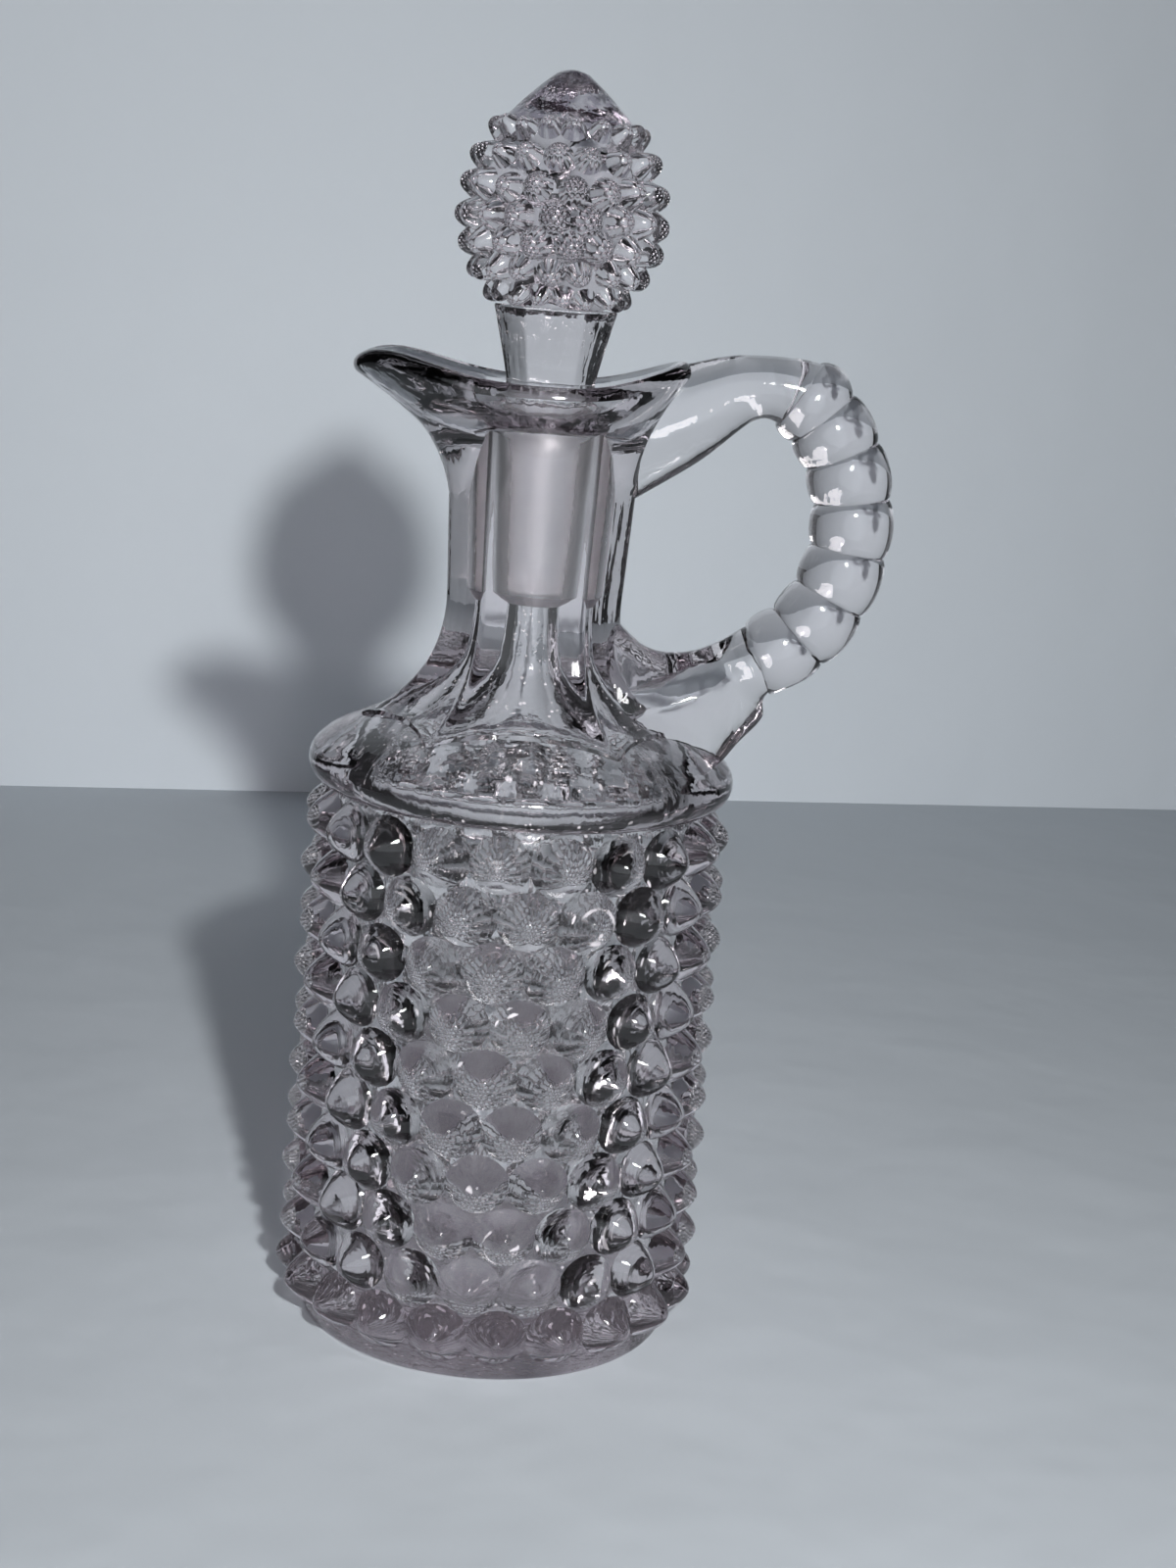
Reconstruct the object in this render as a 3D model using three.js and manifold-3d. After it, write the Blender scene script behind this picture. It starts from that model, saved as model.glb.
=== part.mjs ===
// A pressed-glass cruet: a hobnail bottle with a panelled neck, a pouring lip and a beaded loop
// handle, all one piece of glass, and a loose ground-glass stopper with a hobnail knob.
// Millimetres, +Z up. The origin is the middle of the flat base, on the axis of the bottle.
// The handle stands towards +X, the pouring lip points to -X and the front is towards -Y.
import * as THREE from "three";
import { mergeVertices } from "three/addons/utils/BufferGeometryUtils.js";
import Module from "manifold-3d";

// Barrel: a wall covered with staggered rows of hobs, a little wider at the base than at the top
const BARREL_RADIUS = 22.5;
const BARREL_FLARE = 0.6;
const BARREL_WALL = 3.2;
const BASE_THICKNESS = 5.5;
const BASE_EDGE = 0.6;
const CHAMBER_CORNER = 3;
const HOBS_PER_ROW = 20;
const HOB_ROWS = 10;
const HOB_ROW_PITCH = 6.38;
const HOB_HEIGHT = 3.5;
const LOWEST_ROW_HEIGHT = 5.4;
const HOB_TURN = -3.8;

// Shoulder: a plain rounded ring, and the low dome that rises from it to the neck
const RING_RADIUS = 25.7;
const RING_HEIGHT = 5.2;
const RING_ROUNDING = 2.5;
const DOME_RISE = 6.4;
const DOME_FULLNESS = 21.5;
const CHAMBER_TOP_DROP = 4;

// Neck: six flat panels that sweep out over the shoulder
const NECK_HEIGHT = 39.1;
const NECK_FOOT_RADIUS = 20.5;
const NECK_FOOT_RISE = 1.8;
const NECK_SWEEP_OUT = 2.2;
const NECK_SWEEP_RISE = 6.4;
const NECK_TUCK_IN = 0.7;
const NECK_TUCK_RISE = 11.3;
const NECK_WAIST_RADIUS = 10.7;
const NECK_WAIST_RISE = 19.8;
const NECK_TOP_RADIUS = 11.6;
const FRONT_PANEL_HALF_ANGLE = 34;

// Throat and ground seat inside the neck
const THROAT_RADIUS = 3.1;
const THROAT_FOOT_RADIUS = 3.6;
const THROAT_FOOT_RISE = 10.8;
const THROAT_FLARE = 1.9;
const THROAT_FLARE_RISE = 1.8;
const THROAT_STRAIGHT = 3;
const SEAT_STEP = 1.3;
const SEAT_CLEARANCE = 0.3;
const SEAT_RIM = 0.35;

// Lip: a bowl on the neck, drawn out to a spout on one side and to the handle on the other.
// Its front, spout and handle side stand out from the corners of the neck by these sizes.
const LIP_OVERHANG = { front: 1.8, spout: 11.5, handle: 4.9 };
const CREASE_OVERHANG = { front: 0.2, spout: 3, handle: 1.2 };
const CREASE_DROP = { front: -0.2, spout: 1.7, handle: 0.3 };
const LIP_ROOT_OVERHANG = { front: -2.7, spout: -0.7, handle: -0.6 };
const LIP_ROOT_DROP = { front: 4.8, spout: 9.8, handle: 8.3 };
const RIM_THICKNESS = 2.5;
const RIM_HEIGHT = 3.2;
const SPOUT_RISE = 3.8;
const SPOUT_TIP_DROP = 2.2;
const HANDLE_SIDE_RISE = 3.5;
const LOBE_SHARPNESS = 3;
const RISE_SHARPNESS = 4;
const TIP_SHARPNESS = 24;

// Handle: a plain arm from the lip, a loop of beads, and a foot on the shoulder
const LOOP_CENTRE_REACH = 22.2;
const LOOP_CENTRE_HEIGHT = 29;
const LOOP_HALF_WIDTH = 14.7;
const LOOP_HALF_HEIGHT = 17.5;
const LOOP_TOP_ANGLE = 62;
const LOOP_SWEEP = 132;
const BEADS = 7;
const BEAD_SPREAD = 1.12;
const BEAD_RADIUS = 5.1;
const GROOVE_RADIUS = 4.35;

// The arm starts in the neck, stands out from its corner and rises above the floor of the bowl
const ARM_START = { out: -3.6, rise: -0.8, halfHeight: 8.3, halfDepth: 3 };
const ARM_WEB = { out: 4.4, rise: 1.9, halfHeight: 5.8, halfDepth: 3.6 };
const ARM_END = { out: 11.4, rise: 5.4, halfHeight: 3.9, halfDepth: 3.9 };

// The foot runs in from the edge of the shoulder ring, above its top
const FOOT_START = { inset: 3.2, rise: 7.7, halfHeight: 6.2, halfDepth: 4.6 };
const FOOT_WEDGE = { inset: 10.2, rise: 6.4, halfHeight: 7.6, halfDepth: 5 };
const FOOT_END = { inset: 16.2, rise: 4.3, halfHeight: 10.2, halfDepth: 5 };

// Stopper: a ground plug, a panelled shank and a hobnail knob with a plain pointed cap
const PLUG_LENGTH = 19.2;
const PLUG_TOP_RADIUS = 6.25;
const PLUG_END_RADIUS = 4.95;
const PLUG_END_ROUNDING = 1.2;
const PLUG_BELOW_BOWL = 0.9;
const PLUG_SHOULDER = 1.6;
const SHANK_RADIUS = 4.6;
const SHANK_TOP_RADIUS = 7.2;
const SHANK_STRAIGHT = 5.4;
const SHANK_SWEEP_RISE = 2.6;
const SHANK_SWEEP_OUT = 0.5;
const SHANK_LENGTH = 13.3;
const KNOB_RADIUS = 10.6;
const KNOB_RISE = 14;
const KNOB_DROP = 13.3;
const KNOB_TAPER = 1.22;
const KNOB_ROWS = 7;
const KNOB_ROW_ANGLE = 13;
const KNOB_HOB_HEIGHT = 1.95;
const CAP_RADIUS = 7.4;
const CAP_EDGE = 0.8;
const CAP_HEIGHT = 5.6;
const CAP_FULLNESS = 4.9;
const CAP_TIP_RADIUS = 1.9;
const CAP_TIP_ROUNDING = 0.5;

// Fineness of the round forms
const ROUND_STEPS = 48;
const BORE_STEPS = 32;
const HANDLE_STEPS = 10;
const BEAD_STEPS = 4;
const RIM_STEPS = 4;
const BARREL_HOB_RINGS = [0.17, 0.37];
const KNOB_HOB_RINGS = [0.27];

// Colours of the clear glass and of the ground glass
const CLEAR_GLASS = 0xcfccd8;
const GROUND_GLASS = 0xc4c2c9;

// Heights that follow from the sizes above
const TOP_ROW_HEIGHT = LOWEST_ROW_HEIGHT + (HOB_ROWS - 1) * HOB_ROW_PITCH;
const RING_FOOT = TOP_ROW_HEIGHT + (HOB_ROW_PITCH * 2) / 3;
const RING_TOP = RING_FOOT + RING_HEIGHT;
const BOWL_FLOOR = RING_TOP + NECK_HEIGHT;
const PLUG_TOP = BOWL_FLOOR - PLUG_BELOW_BOWL;
const PLUG_END = PLUG_TOP - PLUG_LENGTH;
const PLUG_TAPER = (PLUG_TOP_RADIUS - PLUG_END_RADIUS) / PLUG_LENGTH;
const SHANK_TOP = PLUG_TOP + SHANK_LENGTH;
const SEAT_MOUTH_RADIUS = PLUG_TOP_RADIUS + PLUG_TAPER * PLUG_BELOW_BOWL + SEAT_CLEARANCE;
const BOWL_FLOOR_RADIUS = SEAT_MOUTH_RADIUS + SEAT_RIM;

const wasm = await Module();
wasm.setup();

// Joining and cutting of closed solids
function solidOf(geometry) {
  const bare = geometry.clone();
  bare.deleteAttribute("normal");
  bare.deleteAttribute("uv");
  const merged = mergeVertices(bare);
  const mesh = new wasm.Mesh({
    numProp: 3,
    vertProperties: merged.attributes.position.array,
    triVerts: new Uint32Array(merged.index.array),
  });
  return new wasm.Manifold(mesh);
}

function geometryOf(solid) {
  const mesh = solid.getMesh();
  const geometry = new THREE.BufferGeometry();
  geometry.setAttribute("position", new THREE.BufferAttribute(mesh.vertProperties, mesh.numProp));
  geometry.setIndex(new THREE.BufferAttribute(mesh.triVerts, 1));
  geometry.computeVertexNormals();
  return geometry;
}

function join(geometries) {
  return geometries.map(solidOf).reduce((whole, piece) => whole.add(piece));
}

// A point at a distance from the axis, turned by an angle from the front towards the handle
function polar(radius, angle, height) {
  return new THREE.Vector3(radius * Math.sin(angle), -radius * Math.cos(angle), height);
}

function geometryFrom(points, faces) {
  const geometry = new THREE.BufferGeometry().setFromPoints(points);
  geometry.setIndex(faces);
  return geometry;
}

// A solid through a row of closed outlines, each with the same number of points
function loft(rings) {
  const count = rings[0].length;
  const points = rings.flat();
  const faces = [];
  for (let i = 0; i < rings.length - 1; i++) {
    for (let j = 0; j < count; j++) {
      const k = (j + 1) % count;
      const low = i * count;
      const high = low + count;
      faces.push(low + j, low + k, high + k);
      faces.push(low + j, high + k, high + j);
    }
  }
  for (const end of [0, rings.length - 1]) {
    const middle = points.length;
    points.push(meanOf(rings[end]));
    for (let j = 0; j < count; j++) {
      const here = end * count + j;
      const next = end * count + ((j + 1) % count);
      faces.push(middle, ...(end === 0 ? [next, here] : [here, next]));
    }
  }
  return geometryFrom(points, faces);
}

function meanOf(points) {
  const sum = points.reduce((total, point) => total.add(point), new THREE.Vector3());
  return sum.divideScalar(points.length);
}

// A solid of revolution about the Z axis, from a profile of radius and height
function revolve(path, divisions, steps) {
  return new THREE.LatheGeometry(path.getPoints(divisions), steps).rotateX(Math.PI / 2);
}

// A solid covered with staggered rows of hobs. Each hob is a dome on a six-sided cell, with one
// or two rings of points between tip and cell, at the given shares of the pitch, and the cells
// share their corners. Rows count down from the top; place gives the point of the surface at an
// angle, a row and a lift above the surface.
function hobSkin({ rows, perRow, turn, height, shares, place, topEdge, bottomEdge }) {
  const points = [];
  const faces = [];
  const corners = new Map();
  const step = (2 * Math.PI) / perRow;
  const start = THREE.MathUtils.degToRad(turn);
  const cellHeight = Math.sqrt(3) / 2;
  const add = (point) => points.push(point) - 1;

  const corner = (halfSteps, thirdRows) => {
    const wrapped = (halfSteps + 2 * perRow) % (2 * perRow);
    const key = wrapped + " " + thirdRows;
    if (!corners.has(key)) {
      corners.set(key, add(place(start + (wrapped * step) / 2, thirdRows / 3, 0)));
    }
    return corners.get(key);
  };

  const flank = (row, column, share, firstTurn) => {
    const lift = height * (1 - Math.pow(2 * share, 2));
    const ring = [];
    for (let k = 0; k < 6; k++) {
      const turned = firstTurn + (k * Math.PI) / 3;
      const across = column + share * Math.cos(turned);
      const down = row - (share * Math.sin(turned)) / cellHeight;
      ring.push(add(place(start + across * step, down, lift)));
    }
    return ring;
  };

  for (let row = 0; row < rows; row++) {
    for (let n = 0; n < perRow; n++) {
      const half = 2 * n + (row % 2);
      const third = 3 * row;
      const tip = add(place(start + (half * step) / 2, row, height));
      const rings = shares.map((share, ring) => {
        const turned = ((shares.length - 1 - ring) * Math.PI) / 6;
        return flank(row, half / 2, share, turned);
      });
      const upper = rings[0];
      const lower = rings[rings.length - 1];
      const cell = [
        corner(half + 1, third - 1),
        corner(half, third - 2),
        corner(half - 1, third - 1),
        corner(half - 1, third + 1),
        corner(half, third + 2),
        corner(half + 1, third + 1),
      ];
      for (let k = 0; k < 6; k++) {
        const next = (k + 1) % 6;
        const last = (k + 5) % 6;
        faces.push(tip, upper[k], upper[next]);
        if (rings.length === 2) {
          faces.push(upper[last], lower[k], upper[k]);
          faces.push(lower[k], lower[next], upper[k]);
        }
        faces.push(lower[k], cell[k], lower[next]);
        faces.push(cell[last], cell[k], lower[k]);
      }
    }
  }

  // Plain bands above the first row and below the last, and the flat ends
  const band = (edge, row, side) => {
    const border = [];
    const rim = [];
    for (let half = 0; half < 2 * perRow; half++) {
      const pointed = (half + row) % 2 === 0;
      border.push(corner(half, 3 * row + side * (pointed ? 2 : 1)));
      rim.push(add(place(start + (half * step) / 2, edge.row, edge.lift)));
    }
    const middle = add(new THREE.Vector3(0, 0, points[rim[0]].z));
    for (let half = 0; half < 2 * perRow; half++) {
      const next = (half + 1) % (2 * perRow);
      const quad = [border[half], border[next], rim[next], rim[half]];
      if (side > 0) quad.reverse();
      faces.push(quad[0], quad[1], quad[2], quad[0], quad[2], quad[3]);
      faces.push(middle, ...(side > 0 ? [rim[next], rim[half]] : [rim[half], rim[next]]));
    }
  };
  band(topEdge, 0, -1);
  band(bottomEdge, rows - 1, 1);
  return geometryFrom(points, faces);
}

// The hobnail barrel, from the flat base up into the shoulder ring
function barrel() {
  const place = (angle, row, lift) => {
    const height = TOP_ROW_HEIGHT - row * HOB_ROW_PITCH;
    const radius = BARREL_RADIUS + (BARREL_FLARE * row) / HOB_ROWS;
    return polar(radius + lift, angle, height);
  };
  return hobSkin({
    rows: HOB_ROWS,
    perRow: HOBS_PER_ROW,
    turn: HOB_TURN,
    height: HOB_HEIGHT,
    shares: BARREL_HOB_RINGS,
    place,
    topEdge: { row: -1, lift: 0 },
    bottomEdge: { row: TOP_ROW_HEIGHT / HOB_ROW_PITCH, lift: -BASE_EDGE },
  });
}

// The plain ring and the dome inside it
function shoulder() {
  const ringMiddle = RING_FOOT + RING_HEIGHT / 2;
  const profile = new THREE.Path();
  profile.moveTo(0, RING_FOOT);
  profile.lineTo(RING_RADIUS - RING_ROUNDING, RING_FOOT);
  profile.absellipse(
    RING_RADIUS - RING_ROUNDING,
    ringMiddle,
    RING_ROUNDING,
    RING_HEIGHT / 2,
    -Math.PI / 2,
    Math.PI / 3,
  );
  profile.quadraticCurveTo(DOME_FULLNESS, RING_TOP + DOME_RISE / 2, 0, RING_TOP + DOME_RISE);
  return revolve(profile, 4, ROUND_STEPS);
}

// The six panels: the front and back ones are a little wider than the four at the sides
function neck() {
  const edge = new THREE.Path();
  edge.moveTo(NECK_FOOT_RADIUS, RING_TOP + NECK_FOOT_RISE);
  edge.bezierCurveTo(
    NECK_WAIST_RADIUS + NECK_SWEEP_OUT,
    RING_TOP + NECK_SWEEP_RISE,
    NECK_WAIST_RADIUS - NECK_TUCK_IN,
    RING_TOP + NECK_TUCK_RISE,
    NECK_WAIST_RADIUS,
    RING_TOP + NECK_WAIST_RISE,
  );
  edge.lineTo(NECK_TOP_RADIUS, BOWL_FLOOR);
  const wide = FRONT_PANEL_HALF_ANGLE;
  const corners = [-wide, wide, 90, 180 - wide, 180 + wide, 270].map(THREE.MathUtils.degToRad);
  const rings = edge.getPoints(8).map((point) => {
    return corners.map((angle) => polar(point.x, angle, point.y));
  });
  return loft(rings);
}

// Sizes of the lip blend from the front, round to the spout and round to the handle
function roundTheLip(angle, size) {
  const towardsHandle = Math.sin(angle);
  const share = Math.pow(Math.abs(towardsHandle), LOBE_SHARPNESS);
  const side = towardsHandle > 0 ? size.handle : size.spout;
  return THREE.MathUtils.lerp(size.front, side, share);
}

function rimHeight(angle) {
  const spout = Math.max(0, -Math.sin(angle));
  const handle = Math.max(0, Math.sin(angle));
  const spoutRise = SPOUT_RISE * Math.pow(spout, RISE_SHARPNESS);
  const handleRise = HANDLE_SIDE_RISE * Math.pow(handle, LOBE_SHARPNESS);
  const tipDrop = SPOUT_TIP_DROP * Math.pow(spout, TIP_SHARPNESS);
  return BOWL_FLOOR + RIM_HEIGHT + spoutRise + handleRise - tipDrop;
}

// The section of the lip at one angle: the outer wall up from the neck, the rounded rim,
// and the inner wall of the bowl, as points of radius and height
function lipSection(angle) {
  const half = RIM_THICKNESS / 2;
  const radius = (overhang) => NECK_TOP_RADIUS + roundTheLip(angle, overhang);
  const height = (drop) => BOWL_FLOOR - roundTheLip(angle, drop);
  const root = new THREE.Vector2(radius(LIP_ROOT_OVERHANG), height(LIP_ROOT_DROP));
  const crease = new THREE.Vector2(radius(CREASE_OVERHANG), height(CREASE_DROP));
  const rim = new THREE.Vector2(radius(LIP_OVERHANG) - half, rimHeight(angle));
  const outer = new THREE.QuadraticBezierCurve(root, between(root, crease, 0.2, 0.55), crease);
  const lean = Math.atan2(rim.y - crease.y, rim.x - crease.x);
  const rounding = Array.from({ length: RIM_STEPS + 1 }, (_, k) => {
    const turned = lean + Math.PI * (k / RIM_STEPS - 0.5);
    const spoke = new THREE.Vector2(Math.cos(turned), Math.sin(turned));
    return rim.clone().addScaledVector(spoke, half);
  });
  const floor = new THREE.Vector2(BOWL_FLOOR_RADIUS, BOWL_FLOOR);
  const inside = rounding[RIM_STEPS];
  const inner = new THREE.QuadraticBezierCurve(floor, between(floor, inside, 0.45, 0.25), inside);
  return {
    outside: [...outer.getPoints(RIM_STEPS), ...rounding],
    bowl: inner.getPoints(RIM_STEPS),
  };
}

// A point at one share of the way across from start to end, and at another of the way up
function between(start, end, across, up) {
  return new THREE.Vector2(
    THREE.MathUtils.lerp(start.x, end.x, across),
    THREE.MathUtils.lerp(start.y, end.y, up),
  );
}

// Rings round the axis from one section for each angle
function ringsFrom(sections) {
  return sections[0].map((_, level) => {
    return sections.map((section, n) => {
      const angle = (n * 2 * Math.PI) / sections.length;
      return polar(section[level].x, angle, section[level].y);
    });
  });
}

function lipSections() {
  const angles = Array.from({ length: ROUND_STEPS }, (_, n) => (n * 2 * Math.PI) / ROUND_STEPS);
  return angles.map(lipSection);
}

function lip() {
  return loft(ringsFrom(lipSections().map((section) => section.outside)));
}

// The hollow of the lip, carried up past the rim
function bowl() {
  const rings = ringsFrom(lipSections().map((section) => section.bowl));
  const above = rings[rings.length - 1].map((point) => {
    return point.clone().setZ(point.z + SHANK_LENGTH);
  });
  return loft([...rings, above]);
}

// The hollow of the bottle: chamber, narrow throat and the tapered seat of the plug
function bore() {
  const chamber = BARREL_RADIUS - BARREL_WALL;
  const seatFloor = PLUG_END - SEAT_CLEARANCE;
  const seatEnd = PLUG_END_RADIUS + SEAT_CLEARANCE;
  const profile = new THREE.Path();
  profile.moveTo(0, BASE_THICKNESS);
  profile.lineTo(chamber - CHAMBER_CORNER, BASE_THICKNESS);
  profile.quadraticCurveTo(chamber, BASE_THICKNESS, chamber, BASE_THICKNESS + CHAMBER_CORNER);
  profile.lineTo(chamber, RING_FOOT - CHAMBER_TOP_DROP);
  profile.bezierCurveTo(
    chamber,
    RING_TOP,
    THROAT_FOOT_RADIUS + THROAT_FLARE,
    RING_TOP + THROAT_FLARE_RISE,
    THROAT_FOOT_RADIUS,
    RING_TOP + THROAT_FOOT_RISE,
  );
  profile.lineTo(THROAT_RADIUS, seatFloor - THROAT_STRAIGHT);
  profile.lineTo(THROAT_RADIUS, seatFloor - SEAT_STEP);
  profile.lineTo(seatEnd, seatFloor);
  profile.lineTo(SEAT_MOUTH_RADIUS, BOWL_FLOOR);
  profile.lineTo(SEAT_MOUTH_RADIUS, BOWL_FLOOR + SEAT_RIM);
  profile.lineTo(0, BOWL_FLOOR + SEAT_RIM);
  return revolve(profile, 6, BORE_STEPS);
}

// The handle as a loft of oval sections along its centre line
function handle() {
  const grooves = Array.from({ length: BEADS + 1 }, (_, k) => {
    const down = LOOP_SWEEP * Math.pow(k / BEADS, BEAD_SPREAD);
    const angle = THREE.MathUtils.degToRad(LOOP_TOP_ANGLE - down);
    return new THREE.Vector3(
      LOOP_CENTRE_REACH + LOOP_HALF_WIDTH * Math.cos(angle),
      0,
      RING_TOP + LOOP_CENTRE_HEIGHT + LOOP_HALF_HEIGHT * Math.sin(angle),
    );
  });
  const arm = [ARM_START, ARM_WEB, ARM_END];
  const foot = [FOOT_START, FOOT_WEDGE, FOOT_END];
  const centres = new THREE.CatmullRomCurve3([
    ...arm.map(({ out, rise }) => new THREE.Vector3(NECK_TOP_RADIUS + out, 0, BOWL_FLOOR + rise)),
    ...grooves,
    ...foot.map(({ inset, rise }) => new THREE.Vector3(RING_RADIUS - inset, 0, RING_TOP + rise)),
  ]);
  const oval = ({ halfHeight, halfDepth }) => new THREE.Vector3(halfHeight, halfDepth, 0);
  const ovals = new THREE.CatmullRomCurve3([
    ...arm.map(oval),
    ...grooves.map(() => new THREE.Vector3(GROOVE_RADIUS, GROOVE_RADIUS, 0)),
    ...foot.map(oval),
  ]);
  const spans = arm.length + grooves.length + foot.length - 1;
  const stations = spans * BEAD_STEPS;
  const rings = [];
  for (let n = 0; n <= stations; n++) {
    const share = n / stations;
    const centre = centres.getPoint(share);
    const along = centres.getTangent(share);
    const across = new THREE.Vector3(along.z, 0, -along.x);
    const size = ovals.getPoint(share);
    const bead = n / BEAD_STEPS - arm.length;
    if (bead > 0 && bead < BEADS) {
      const swell = Math.sqrt(Math.abs(Math.sin(bead * Math.PI)));
      size.addScalar((BEAD_RADIUS - GROOVE_RADIUS) * swell);
    }
    rings.push(ovalRing(centre, across, size));
  }
  return loft(rings);
}

function ovalRing(centre, across, size) {
  return Array.from({ length: HANDLE_STEPS }, (_, k) => {
    const angle = (k * 2 * Math.PI) / HANDLE_STEPS;
    const point = centre.clone().addScaledVector(across, size.x * Math.cos(angle));
    return point.setY(size.y * Math.sin(angle));
  });
}

function cruetBody() {
  const outside = join([barrel(), shoulder(), neck(), lip(), handle()]);
  const inside = join([bore(), bowl()]);
  return geometryOf(outside.subtract(inside));
}

// The ground plug, with a rounded end and a short shoulder up to the shank
function plug() {
  const endRadius = PLUG_END_RADIUS + PLUG_TAPER * PLUG_END_ROUNDING;
  const profile = new THREE.Path();
  profile.moveTo(0, PLUG_END);
  profile.lineTo(PLUG_END_RADIUS - PLUG_END_ROUNDING, PLUG_END);
  profile.quadraticCurveTo(PLUG_END_RADIUS, PLUG_END, endRadius, PLUG_END + PLUG_END_ROUNDING);
  profile.lineTo(PLUG_TOP_RADIUS, PLUG_TOP);
  profile.absellipse(0, PLUG_TOP, PLUG_TOP_RADIUS, PLUG_SHOULDER, 0, Math.PI / 2);
  return revolve(profile, 3, BORE_STEPS);
}

// The six-sided shank, straight below and flared into the knob
function shank() {
  const straightTop = PLUG_TOP + SHANK_STRAIGHT;
  const edge = new THREE.Path();
  edge.moveTo(SHANK_RADIUS, PLUG_TOP);
  edge.lineTo(SHANK_RADIUS, straightTop);
  edge.quadraticCurveTo(
    SHANK_RADIUS + SHANK_SWEEP_OUT,
    straightTop + SHANK_SWEEP_RISE,
    SHANK_TOP_RADIUS,
    SHANK_TOP,
  );
  const rings = edge.getPoints(4).map((point) => {
    return Array.from({ length: 6 }, (_, k) => polar(point.x, ((k + 0.5) * Math.PI) / 3, point.y));
  });
  return loft(rings);
}

// The hobnail knob, an egg: half an ellipse above, and below a half drawn in towards the shank
const KNOB_TOP_ROW_ANGLE = (KNOB_ROW_ANGLE * (KNOB_ROWS - 1)) / 2;
const KNOB_EDGE_ANGLE = THREE.MathUtils.degToRad(KNOB_TOP_ROW_ANGLE + KNOB_ROW_ANGLE);
const KNOB_MIDDLE = SHANK_TOP + KNOB_DROP * Math.sin(KNOB_EDGE_ANGLE);

function knob() {
  const place = (angle, row, lift) => {
    const climb = THREE.MathUtils.degToRad(KNOB_TOP_ROW_ANGLE - row * KNOB_ROW_ANGLE);
    const halfHeight = climb > 0 ? KNOB_RISE : KNOB_DROP;
    const taper = climb > 0 ? 1 : KNOB_TAPER;
    const inset = climb * taper;
    const outward = new THREE.Vector2(
      halfHeight * Math.cos(climb),
      KNOB_RADIUS * taper * Math.sin(inset),
    );
    outward.normalize().multiplyScalar(lift);
    const radius = KNOB_RADIUS * Math.cos(inset) + outward.x;
    return polar(radius, angle, KNOB_MIDDLE + halfHeight * Math.sin(climb) + outward.y);
  };
  return hobSkin({
    rows: KNOB_ROWS,
    perRow: HOBS_PER_ROW,
    turn: 0,
    height: KNOB_HOB_HEIGHT,
    shares: KNOB_HOB_RINGS,
    place,
    topEdge: { row: -1, lift: 0 },
    bottomEdge: { row: KNOB_ROWS, lift: 0 },
  });
}

// The plain cap: a low cone with a rounded edge and a blunt tip
function cap() {
  const foot = KNOB_MIDDLE + KNOB_RISE * Math.sin(KNOB_EDGE_ANGLE);
  const tip = foot + CAP_HEIGHT;
  const profile = new THREE.Path();
  profile.moveTo(0, foot - CAP_EDGE);
  profile.lineTo(CAP_RADIUS - CAP_EDGE, foot - CAP_EDGE);
  profile.absarc(CAP_RADIUS - CAP_EDGE, foot, CAP_EDGE, -Math.PI / 2, Math.PI / 4);
  profile.quadraticCurveTo(
    CAP_FULLNESS,
    (foot + tip + CAP_EDGE) / 2,
    CAP_TIP_RADIUS,
    tip - CAP_TIP_ROUNDING,
  );
  profile.quadraticCurveTo(CAP_TIP_RADIUS / 2, tip, 0, tip);
  return revolve(profile, 3, BORE_STEPS);
}

function stopper() {
  return geometryOf(join([plug(), shank(), knob(), cap()]));
}

function glass(color, roughness) {
  return new THREE.MeshStandardMaterial({
    color,
    roughness,
    metalness: 0,
    transparent: true,
    opacity: 0.6,
    flatShading: true,
  });
}

function piece(name, geometry, material) {
  const mesh = new THREE.Mesh(geometry, material);
  mesh.name = name;
  return mesh;
}

const cruet = new THREE.Group();
cruet.name = "cruet";
cruet.add(piece("cruet_body", cruetBody(), glass(CLEAR_GLASS, 0.05)));
cruet.add(piece("stopper", stopper(), glass(GROUND_GLASS, 0.2)));

export default cruet;
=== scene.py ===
# A pressed-glass cruet: a hobnail bottle with a panelled neck, a pouring lip and a beaded loop
# handle, and a loose ground-glass stopper with a hobnail knob. +Z is up, the front is towards -Y,
# the handle towards +X and the spout towards -X. The sizes of the glass are in millimetres, its
# angles in degrees, and its heights from the underside. The room and the lamps are in metres.
import math

import bpy
from mathutils import Matrix, Vector


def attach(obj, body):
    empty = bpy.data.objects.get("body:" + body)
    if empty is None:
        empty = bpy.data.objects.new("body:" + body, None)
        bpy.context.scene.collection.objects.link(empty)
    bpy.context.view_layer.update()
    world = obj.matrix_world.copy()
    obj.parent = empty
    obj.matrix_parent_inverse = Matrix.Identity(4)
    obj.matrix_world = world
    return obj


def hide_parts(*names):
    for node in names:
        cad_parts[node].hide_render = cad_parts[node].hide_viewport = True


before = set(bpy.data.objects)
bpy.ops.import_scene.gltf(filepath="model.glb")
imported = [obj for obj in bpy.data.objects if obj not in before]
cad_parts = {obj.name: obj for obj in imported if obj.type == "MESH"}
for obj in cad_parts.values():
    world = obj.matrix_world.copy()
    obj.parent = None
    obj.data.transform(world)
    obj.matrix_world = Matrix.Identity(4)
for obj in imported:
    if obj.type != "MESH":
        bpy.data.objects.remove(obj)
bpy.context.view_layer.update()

MM = 0.001

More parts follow.
